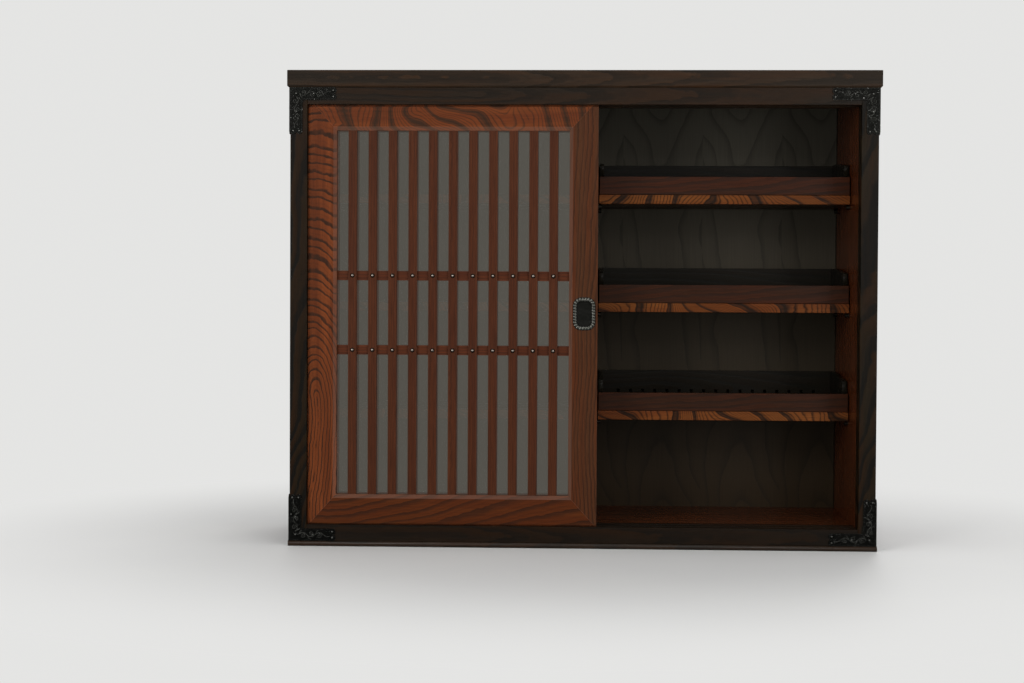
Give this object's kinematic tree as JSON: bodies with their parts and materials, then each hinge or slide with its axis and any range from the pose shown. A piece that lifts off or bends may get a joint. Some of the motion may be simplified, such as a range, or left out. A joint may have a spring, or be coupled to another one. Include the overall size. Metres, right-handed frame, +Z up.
{
  "type": "mizuya kitchen cabinet",
  "caption": "Low Japanese kitchen cabinet with sliding lattice glass doors, adjustable shelves and pull-out trays in a dark framed case with iron corner fittings.",
  "frame": {"origin": "middle of the footprint, on the floor under the base frame", "axes": "+Z up, +X to the right and -Y towards the front of the cabinet"},
  "size_m": [1.2, 0.43, 0.968],
  "materials": {
    "top_wood": "dark stained keyaki, satin varnish",
    "frame_wood": "dark stained hardwood, satin varnish",
    "panel_wood": "dark stained hardwood, gloss varnish",
    "back_wood": "dark stained keyaki veneer",
    "shelf_wood": "figured keyaki edge, satin varnish",
    "tray_wood": "brown stained hardwood, satin varnish",
    "tray_inner_wood": "dark stained wood",
    "door_wood": "strongly grained keyaki, red-brown varnish",
    "lattice_wood": "dark red-brown varnished wood",
    "cross_wood": "red-brown varnished wood",
    "iron": "blackened iron, chased and oiled",
    "nail_metal": "burnished dome heads",
    "pin_metal": "plain turned steel",
    "glass": "clear float glass"
  },
  "bodies": {
    "cabinet": {"top_board": "top_wood", "head_rail": "frame_wood", "sill_rail": "frame_wood", "back_rails": "frame_wood", "left_front_post": "frame_wood", "right_front_post": "frame_wood", "left_rear_post": "frame_wood", "right_rear_post": "frame_wood", "left_side_panel": "panel_wood", "right_side_panel": "panel_wood", "left_side_rails": "frame_wood", "right_side_rails": "frame_wood", "floor_board": "panel_wood", "back_panel": "back_wood", "divider": "frame_wood", "base_frame": "frame_wood", "shelf_pins": "pin_metal", "fitting_nails": "iron", "top_left_corner_fitting": "iron", "top_right_corner_fitting": "iron", "bottom_left_corner_fitting": "iron", "bottom_right_corner_fitting": "iron", "lower_left_shelf": "shelf_wood", "lower_right_shelf": "shelf_wood", "middle_left_shelf": "shelf_wood", "middle_right_shelf": "shelf_wood", "upper_left_shelf": "shelf_wood", "upper_right_shelf": "shelf_wood"},
    "right_door": {"right_door_left_stile": "door_wood", "right_door_right_stile": "door_wood", "right_door_bottom_rail": "door_wood", "right_door_top_rail": "door_wood", "right_door_lattice_bars": "lattice_wood", "right_door_cross_rails": "cross_wood", "right_door_lattice_nails": "nail_metal", "right_door_glass": "glass", "right_door_glass_beads": "lattice_wood", "right_door_finger_pull": "iron"},
    "left_door": {"left_door_left_stile": "door_wood", "left_door_right_stile": "door_wood", "left_door_bottom_rail": "door_wood", "left_door_top_rail": "door_wood", "left_door_lattice_bars": "lattice_wood", "left_door_cross_rails": "cross_wood", "left_door_lattice_nails": "nail_metal", "left_door_glass": "glass", "left_door_glass_beads": "lattice_wood", "left_door_finger_pull": "iron"},
    "lower_tray": {"lower_tray_front": "tray_wood", "lower_tray_sides": "tray_inner_wood", "lower_tray_back": "tray_inner_wood", "lower_tray_floor": "tray_inner_wood"},
    "middle_tray": {"middle_tray_front": "tray_wood", "middle_tray_sides": "tray_inner_wood", "middle_tray_back": "tray_inner_wood", "middle_tray_floor": "tray_inner_wood"},
    "upper_tray": {"upper_tray_front": "tray_wood", "upper_tray_sides": "tray_inner_wood", "upper_tray_back": "tray_inner_wood", "upper_tray_floor": "tray_inner_wood"}
  },
  "joints": [
    {"name": "right_door_slide", "type": "slide", "parent": "cabinet", "child": "right_door", "axis": [-1, 0, 0], "range_m": [-0.527, 0]},
    {"name": "left_door_slide", "type": "slide", "parent": "cabinet", "child": "left_door", "axis": [-1, 0, 0], "range_m": [-0.527, 0]},
    {"name": "lower_tray_slide", "type": "slide", "parent": "cabinet", "child": "lower_tray", "axis": [0, -1, 0], "range_m": [0, 0.2]},
    {"name": "middle_tray_slide", "type": "slide", "parent": "cabinet", "child": "middle_tray", "axis": [0, -1, 0], "range_m": [0, 0.2]},
    {"name": "upper_tray_slide", "type": "slide", "parent": "cabinet", "child": "upper_tray", "axis": [0, -1, 0], "range_m": [0, 0.2]}
  ]
}
